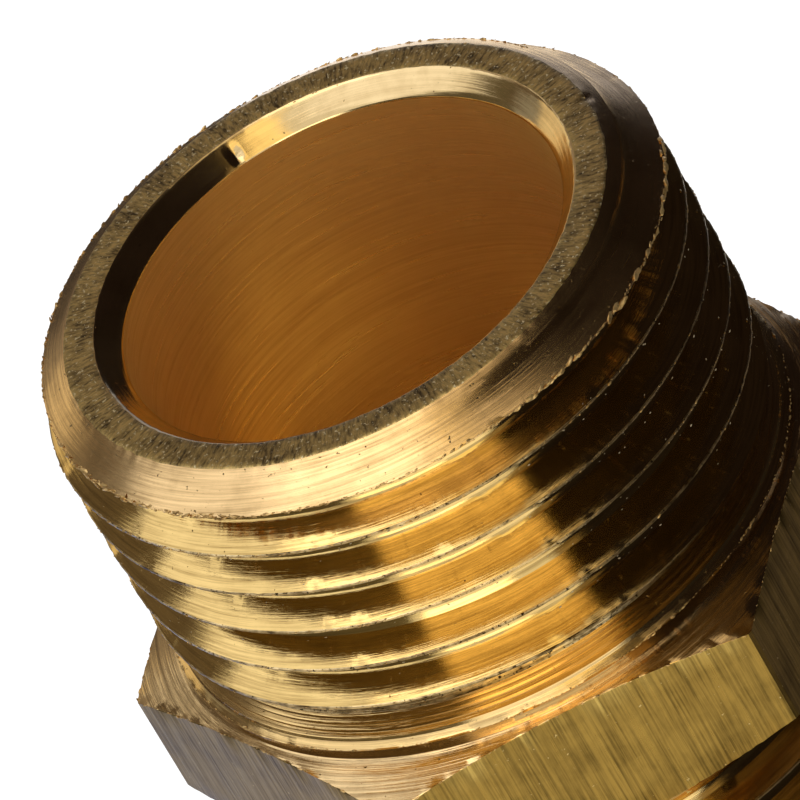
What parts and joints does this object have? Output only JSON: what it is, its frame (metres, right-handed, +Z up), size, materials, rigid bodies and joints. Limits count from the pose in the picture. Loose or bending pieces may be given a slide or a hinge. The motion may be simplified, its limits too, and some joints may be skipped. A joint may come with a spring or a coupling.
{
  "type": "flare fitting",
  "caption": "Brass flare fitting: hexagon nipple with a left-hand male pipe thread at each end, a coned flare nose, its flare nut and flare sleeve.",
  "frame": {"origin": "centre of the circle on which the sleeve's tail stands, at the bottom of the assembly", "axes": "+Z up the common axis to the open threaded end of the nipple, hexagon corners on the X axis"},
  "size_m": [0.0254, 0.022, 0.0422],
  "materials": {
    "nipple_brass": "turned from hexagon bar, flats as drawn, light tarnish",
    "nut_brass": "turned from hexagon bar, flats as drawn",
    "sleeve_brass": "turned all over"
  },
  "bodies": {
    "sleeve": {"flare_sleeve": "sleeve_brass"},
    "nut": {"flare_nut": "nut_brass"},
    "nipple": {"fitting_body": "nipple_brass"}
  },
  "joints": [
    {"name": "nut_turn", "type": "hinge", "parent": "sleeve", "child": "nut", "pos_m": [0, 0, 0.0028], "axis": [0, 0, 1], "range_deg": [0, 2160]},
    {"name": "nipple_travel", "type": "slide", "parent": "sleeve", "child": "nipple", "axis": [0, 0, 1], "range_m": [0, 0.00802]}
  ],
  "couplings": [
    {"joint": "nipple_travel", "follows": "nut_turn", "m_per_rad": 0.00021279}
  ]
}
